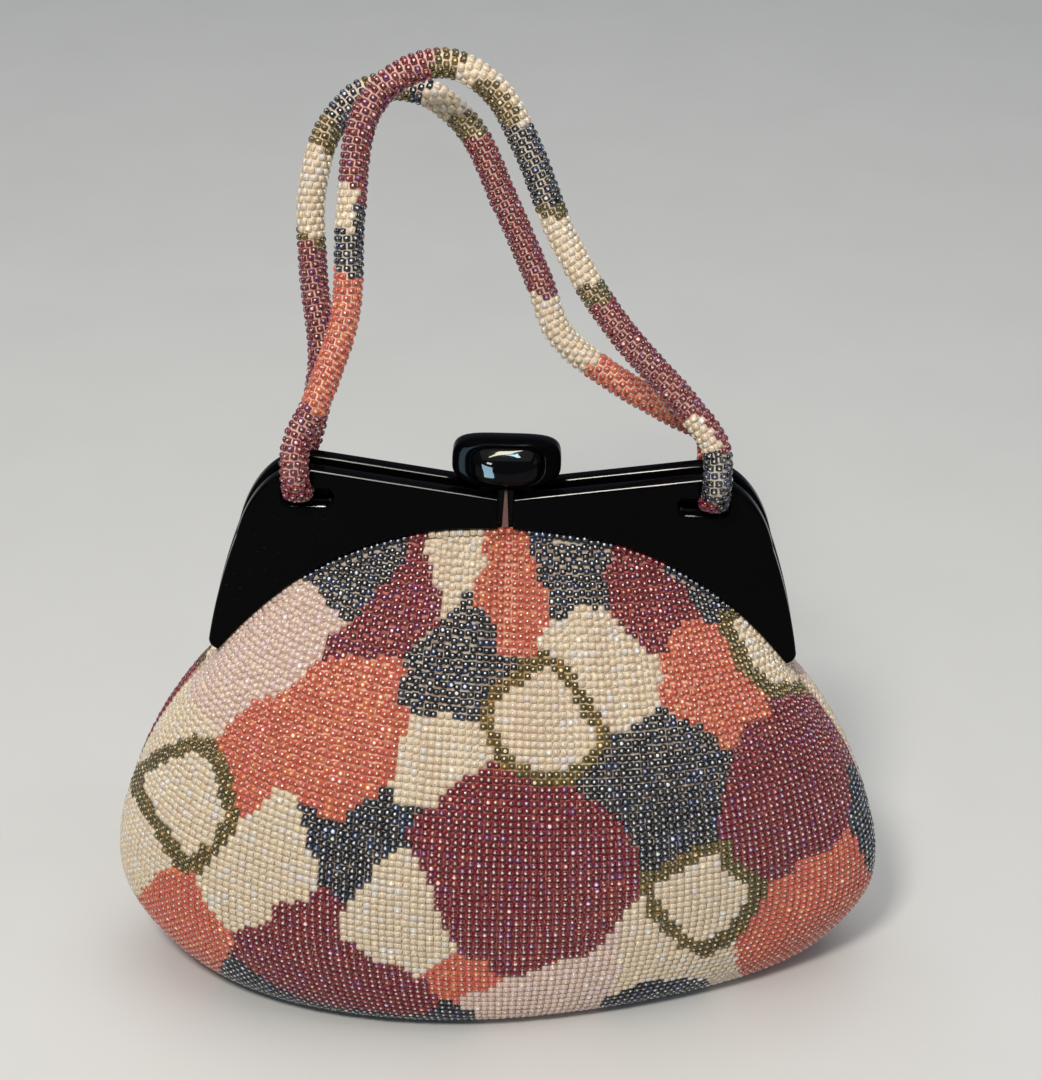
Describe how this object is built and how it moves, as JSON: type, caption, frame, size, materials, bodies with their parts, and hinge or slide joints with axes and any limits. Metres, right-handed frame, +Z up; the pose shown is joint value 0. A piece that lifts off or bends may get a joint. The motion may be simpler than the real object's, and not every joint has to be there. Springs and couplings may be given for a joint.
{
  "type": "beaded handbag",
  "caption": "Soft patchwork bead-cloth pouch handbag in a black plastic frame, with a domed lift-up clasp and bead-rope handles.",
  "frame": {"origin": "on the floor, under the middle of the bag", "axes": "+Z up, the front of the bag faces -Y, +X to the right seen from the front"},
  "size_m": [0.2848, 0.1222, 0.3453],
  "materials": {
    "bead_cloth": "glass seed beads knitted into cotton, patchwork of wine, coral, navy, cream and bronze",
    "bead_rope": "glass seed beads crocheted round a cord, in bands of wine, coral, navy, cream and bronze",
    "black_plastic": "polished black plastic with softened edges",
    "pink_cloth": "plain pink cloth",
    "steel": "plain steel"
  },
  "bodies": {
    "bag": {"pouch_front": "bead_cloth", "pouch_back": "bead_cloth", "front_plate_left": "black_plastic", "front_plate_right": "black_plastic", "back_plate_left": "black_plastic", "back_plate_right": "black_plastic", "hinge_pin_left": "steel", "hinge_pin_right": "steel", "centre_tab": "pink_cloth", "clasp_post": "steel", "handle_front": "bead_rope", "handle_back": "bead_rope"},
    "clasp": {"clasp_lever": "black_plastic"}
  },
  "joints": [
    {"name": "clasp_lift", "type": "hinge", "parent": "bag", "child": "clasp", "pos_m": [0, 0.0046, 0.204], "axis": [-1, 0, 0], "range_deg": [0, 75]}
  ]
}
